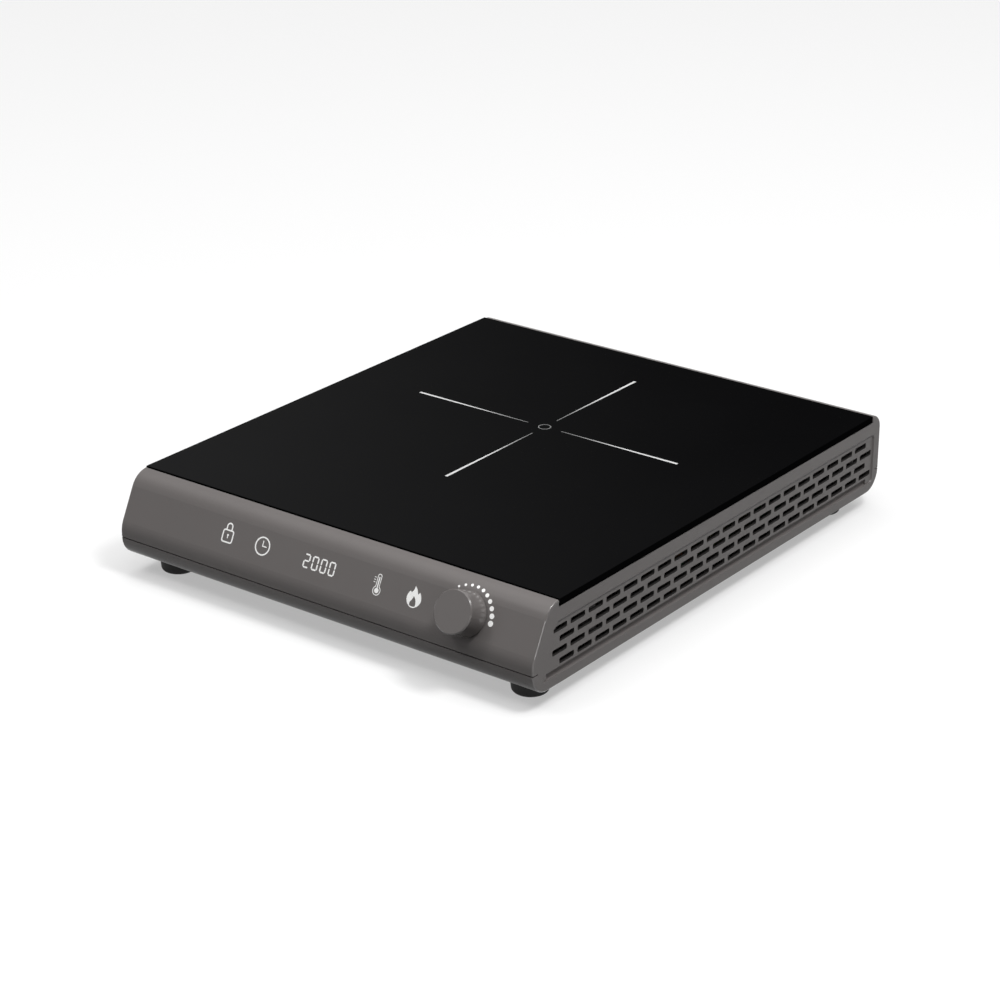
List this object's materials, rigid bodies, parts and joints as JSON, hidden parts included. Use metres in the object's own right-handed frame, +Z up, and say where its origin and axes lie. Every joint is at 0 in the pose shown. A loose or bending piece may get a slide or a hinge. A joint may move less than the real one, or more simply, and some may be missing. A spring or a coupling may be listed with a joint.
{
  "type": "portable induction cooktop",
  "caption": "Low countertop induction cooktop: black glass plate on a grey moulded housing with a sloped front panel, a push-and-turn knob, slotted side vents and round feet.",
  "frame": {"origin": "middle of the overall box, on the plane that the feet stand on", "axes": "+X to the user's right, +Y from the front panel to the back, +Z up"},
  "size_m": [0.29, 0.3611, 0.0597],
  "materials": {
    "black_glass": "polished black glass-ceramic",
    "housing_plastic": "satin warm grey moulding",
    "knob_plastic": "satin warm grey moulding",
    "foot_rubber": "matt black rubber",
    "black_silicone": "black silicone",
    "white_silicone": "white silicone",
    "zinc_steel": "zinc plated",
    "black_plastic": "black moulding",
    "white_plastic": "white moulding",
    "circuit_board": "green solder mask",
    "grey_insulation": "wire insulation",
    "enamelled_copper": "enamelled copper wire",
    "ferrite": "sintered ferrite",
    "mica": "mica sheet",
    "bare_aluminium": "extruded",
    "film_capacitor": "coated",
    "brass_parts": "nickel plated brass"
  },
  "bodies": {
    "root": {"glass_top": "black_glass", "glass_seal": "black_silicone", "upper_housing": "housing_plastic", "lower_housing": "housing_plastic", "base_screws": "zinc_steel", "rubber_feet": "foot_rubber", "encoder_bushing": "zinc_steel", "encoder_case": "black_plastic", "encoder_dome": "zinc_steel", "control_board": "circuit_board", "control_board_screws": "zinc_steel", "led_display": "black_plastic", "touch_pads": "black_silicone", "indicator_leds": "white_plastic", "buzzer": "black_plastic", "ribbon_connectors": "white_plastic", "ribbon_cable": "grey_insulation", "induction_coil": "enamelled_copper", "coil_former": "white_plastic", "ferrite_bars": "ferrite", "mica_sheet": "mica", "coil_screws": "zinc_steel", "sensor_holder": "white_silicone", "temperature_sensor": "zinc_steel", "main_board": "circuit_board", "main_board_screws": "zinc_steel", "heatsink": "bare_aluminium", "power_transistor": "black_plastic", "bridge_rectifier": "black_plastic", "resonant_capacitor": "film_capacitor", "filter_capacitor": "film_capacitor", "filter_choke": "enamelled_copper", "driver_transformer": "film_capacitor", "control_chip": "black_plastic", "mains_fuse": "brass_parts", "varistor": "film_capacitor", "terminal_block": "white_plastic", "board_connectors": "white_plastic", "coil_terminals": "brass_parts", "sensor_lead": "grey_insulation", "fan_lead": "grey_insulation", "fan_frame": "black_plastic", "fan_stator": "enamelled_copper", "fan_screws": "zinc_steel", "cord_gland": "black_plastic"},
    "plunger": {"encoder_plunger": "black_plastic"},
    "knob": {"control_knob": "knob_plastic", "knob_shaft": "zinc_steel"},
    "code_wheel": {"encoder_rotor": "black_plastic"},
    "fan": {"fan_rotor": "black_plastic", "fan_magnet": "ferrite"}
  },
  "joints": [
    {"name": "knob_press", "type": "slide", "parent": "root", "child": "plunger", "axis": [0, 0.8942, -0.4478], "range_m": [0, 0.0005], "stiffness_N_per_m": 1500, "springref_m": -0.0008, "deforming": ["encoder_dome"]},
    {"name": "knob_turn", "type": "hinge", "parent": "plunger", "child": "knob", "pos_m": [0.098, -0.16282, 0.043], "axis": [0, -0.8942, 0.4478], "continuous": true},
    {"name": "encoder_rotor_turn", "type": "hinge", "parent": "root", "child": "code_wheel", "pos_m": [0.098, -0.16282, 0.043], "axis": [0, -0.8942, 0.4478], "continuous": true},
    {"name": "fan_spin", "type": "hinge", "parent": "root", "child": "fan", "pos_m": [-0.075, 0.06867, 0.0131], "axis": [0, 0, 1], "continuous": true}
  ],
  "couplings": [
    {"joint": "encoder_rotor_turn", "follows": "knob_turn", "ratio": 1}
  ]
}
